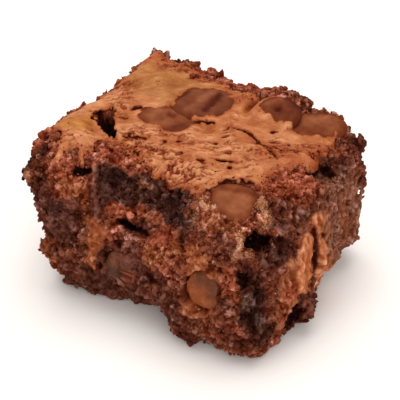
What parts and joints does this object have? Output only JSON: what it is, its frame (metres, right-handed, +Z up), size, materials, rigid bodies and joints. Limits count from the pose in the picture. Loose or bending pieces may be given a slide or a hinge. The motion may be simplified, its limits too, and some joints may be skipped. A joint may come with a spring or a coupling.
{
  "type": "brownie",
  "caption": "Cut square of chocolate brownie with a cracked papery crust, torn moist sides and melted chocolate chips, standing on its flat base.",
  "frame": {"origin": "on the flat base, under the middle of the brownie", "axes": "+Z up from the base; +X to the short cut side, -Y to the long torn side with the cut chips"},
  "size_m": [0.0664, 0.0566, 0.0391],
  "materials": {
    "crumb": "moist dark chocolate crumb under a thin tan crust",
    "chip": "melted and set milk chocolate, soft sheen"
  },
  "bodies": {
    "root": {"brownie": "crumb", "chip_left": "chip", "chip_middle": "chip", "chip_back": "chip", "chip_right": "chip", "chip_front": "chip", "chip_cut_left": "chip", "chip_cut_front": "chip"}
  },
  "joints": []
}
